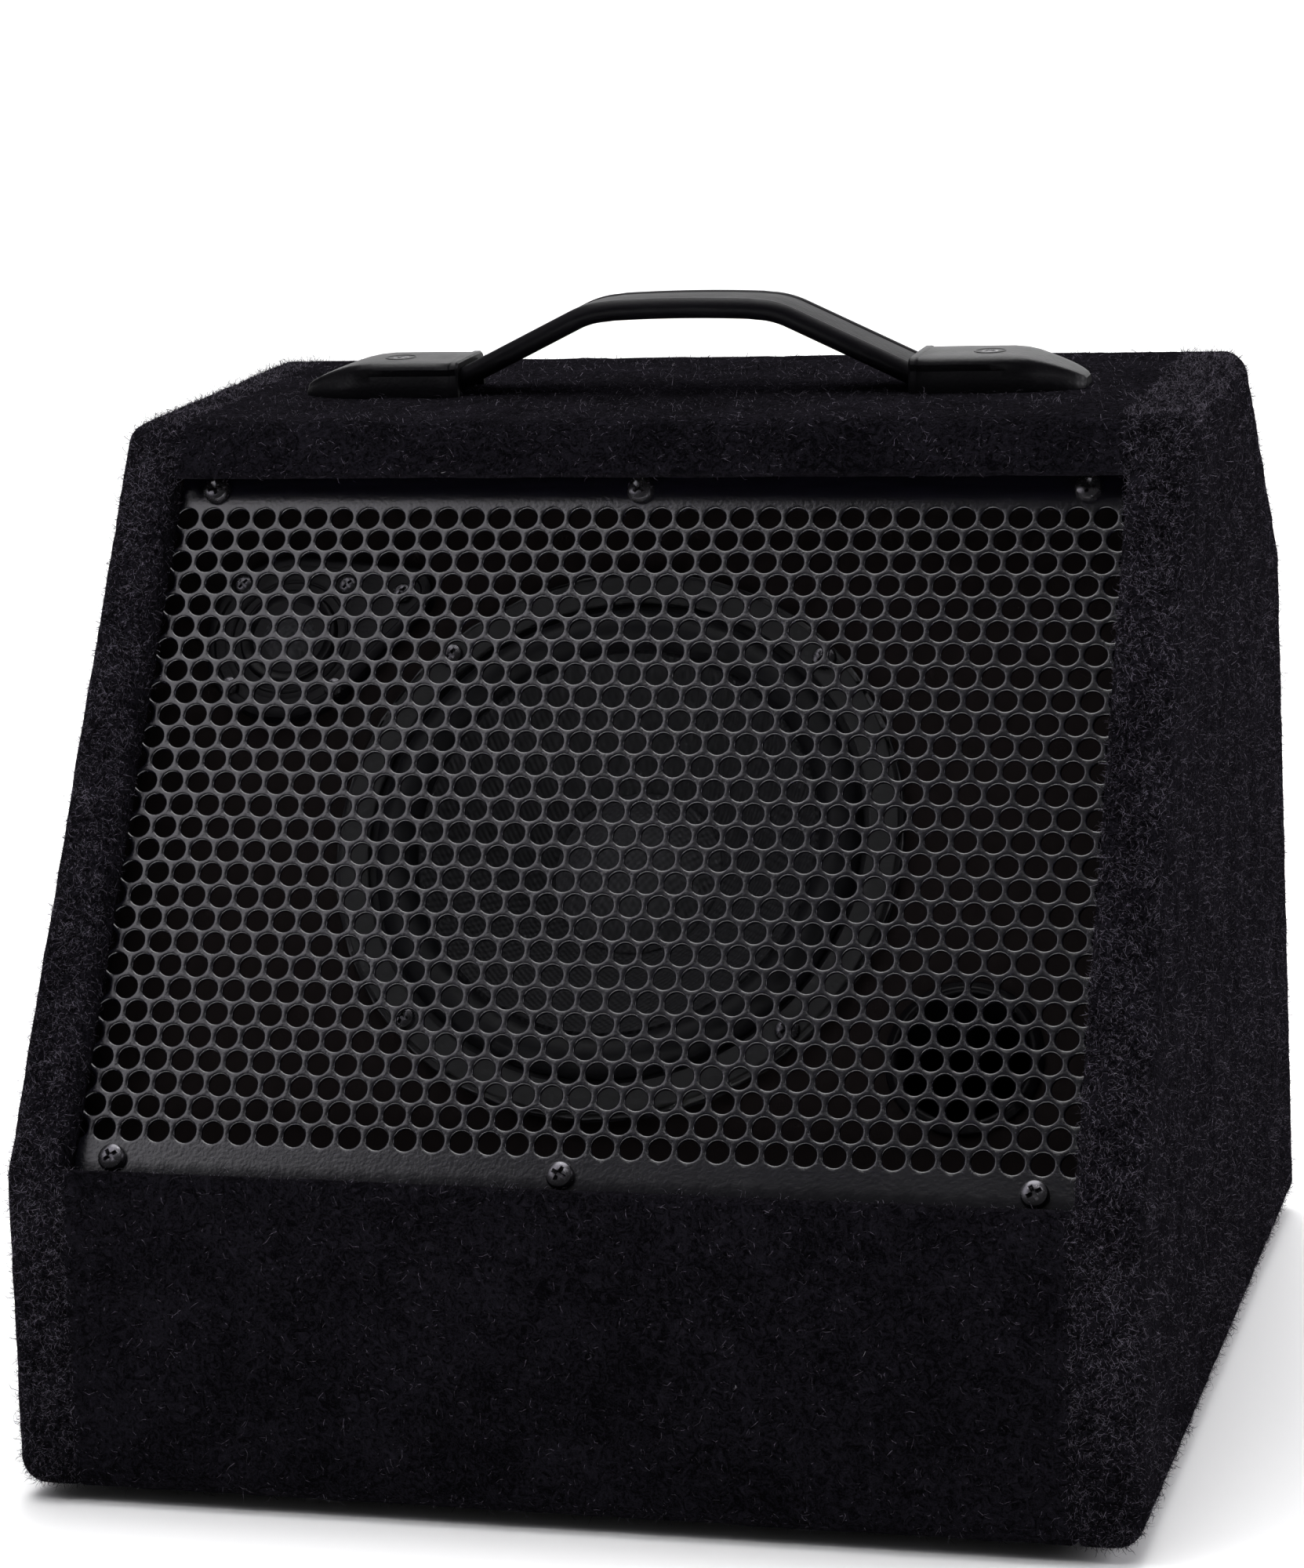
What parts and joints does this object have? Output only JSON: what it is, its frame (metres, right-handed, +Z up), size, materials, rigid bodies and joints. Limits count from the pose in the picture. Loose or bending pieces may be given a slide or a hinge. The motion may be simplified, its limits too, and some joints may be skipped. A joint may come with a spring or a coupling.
{
  "type": "stage monitor wedge",
  "caption": "carpeted wedge loudspeaker with a leaning front grille over a woofer, tweeter and port, and a strap handle on its narrow top",
  "frame": {"origin": "on the floor, under the middle of the bounding box", "axes": "X to the right across the front, Y to the back, Z up; the kick face looks along -Y"},
  "size_m": [0.3168, 0.3802, 0.3271],
  "materials": {
    "carpet": "black needle-punch carpet, fuzzy",
    "mdf": "plain fibre board, black stained where it shows",
    "rubber": "matt black",
    "screw_steel": "glossy black zinc",
    "grille_steel": "satin black powder coat",
    "gasket_foam": "matt black closed foam",
    "spider_cloth": "varnished cotton",
    "cone_paper": "black pressed pulp",
    "dome_cloth": "doped black cloth",
    "coil_copper": "lacquered copper wire",
    "zinc_steel": "bright zinc plate",
    "ferrite": "sintered dark grey",
    "black_plastic": "satin black moulded",
    "strap_vinyl": "satin black vinyl over a steel band",
    "nickel_brass": "nickel plated",
    "board_fibre": "brown laminate",
    "capacitor_film": "blue shrink sleeve",
    "lead_pvc": "red insulation"
  },
  "bodies": {
    "cabinet": {"back_panel": "mdf", "baffle_board": "mdf", "batten_bottom": "mdf", "batten_top": "mdf", "bottom_panel": "mdf", "carpet_back": "carpet", "carpet_bottom": "carpet", "carpet_kick": "carpet", "carpet_left": "carpet", "carpet_right": "carpet", "carpet_top": "carpet", "crossover_board": "board_fibre", "crossover_capacitor": "capacitor_film", "crossover_inductor": "coil_copper", "foot_back_left": "rubber", "foot_back_right": "rubber", "foot_front_left": "rubber", "foot_front_right": "rubber", "grille": "grille_steel", "grille_screw_bottom_left": "screw_steel", "grille_screw_bottom_middle": "screw_steel", "grille_screw_bottom_right": "screw_steel", "grille_screw_top_left": "screw_steel", "grille_screw_top_middle": "screw_steel", "grille_screw_top_right": "screw_steel", "handle_cap_left": "black_plastic", "handle_cap_right": "black_plastic", "handle_screw_left": "screw_steel", "handle_screw_right": "screw_steel", "input_lead": "lead_pvc", "jack_bush_input": "nickel_brass", "jack_bush_link": "nickel_brass", "jack_housing": "black_plastic", "jack_plate": "grille_steel", "kick_panel": "mdf", "port_tube": "black_plastic", "side_panel_left": "mdf", "side_panel_right": "mdf", "slope_panel": "mdf", "top_panel": "mdf", "tweeter_lead": "lead_pvc", "tweeter_motor": "ferrite", "tweeter_plate": "black_plastic", "woofer_back_plate": "zinc_steel", "woofer_basket": "grille_steel", "woofer_gasket": "gasket_foam", "woofer_lead": "lead_pvc", "woofer_magnet": "ferrite", "woofer_spider": "spider_cloth", "woofer_surround": "rubber", "woofer_top_plate": "zinc_steel"},
    "grip": {"strap_grip": "strap_vinyl"},
    "leg_left": {"strap_leg_left": "strap_vinyl"},
    "leg_right": {"strap_leg_right": "strap_vinyl"},
    "end_left": {"strap_end_left": "strap_vinyl"},
    "end_right": {"strap_end_right": "strap_vinyl"},
    "cone_assembly": {"woofer_cone": "cone_paper", "woofer_dust_cap": "cone_paper", "voice_coil": "coil_copper"},
    "tweeter_diaphragm": {"tweeter_dome": "dome_cloth"}
  },
  "joints": [
    {"name": "handle_lift", "type": "slide", "parent": "cabinet", "child": "grip", "axis": [0, -0.0819, 0.9966], "range_m": [-0.02, 0]},
    {"name": "leg_left_fold", "type": "hinge", "parent": "grip", "child": "leg_left", "pos_m": [-0.028, -0.01442, 0.32306], "axis": [0, 0.9966, 0.0819], "range_deg": [0, 26.7]},
    {"name": "leg_right_fold", "type": "hinge", "parent": "grip", "child": "leg_right", "pos_m": [0.028, -0.01442, 0.32306], "axis": [0, 0.9966, 0.0819], "range_deg": [-26.7, 0]},
    {"name": "end_left_level", "type": "hinge", "parent": "leg_left", "child": "end_left", "pos_m": [-0.068, -0.01278, 0.30312], "axis": [0, 0.9966, 0.0819], "range_deg": [-26.7, 0]},
    {"name": "end_right_level", "type": "hinge", "parent": "leg_right", "child": "end_right", "pos_m": [0.068, -0.01278, 0.30312], "axis": [0, 0.9966, 0.0819], "range_deg": [0, 26.7]},
    {"name": "woofer_travel", "type": "slide", "parent": "cabinet", "child": "cone_assembly", "axis": [0, -0.8625, 0.506], "range_m": [-0.003, 0.003], "stiffness_N_per_m": 1500},
    {"name": "tweeter_travel", "type": "slide", "parent": "cabinet", "child": "tweeter_diaphragm", "axis": [0, -0.8625, 0.506], "range_m": [-0.0003, 0.0003], "stiffness_N_per_m": 2000}
  ],
  "couplings": [
    {"joint": "leg_left_fold", "follows": "handle_lift", "rad_per_m": -23.182},
    {"joint": "leg_right_fold", "follows": "handle_lift", "rad_per_m": 23.182},
    {"joint": "end_left_level", "follows": "handle_lift", "rad_per_m": 23.182},
    {"joint": "end_right_level", "follows": "handle_lift", "rad_per_m": -23.182}
  ]
}
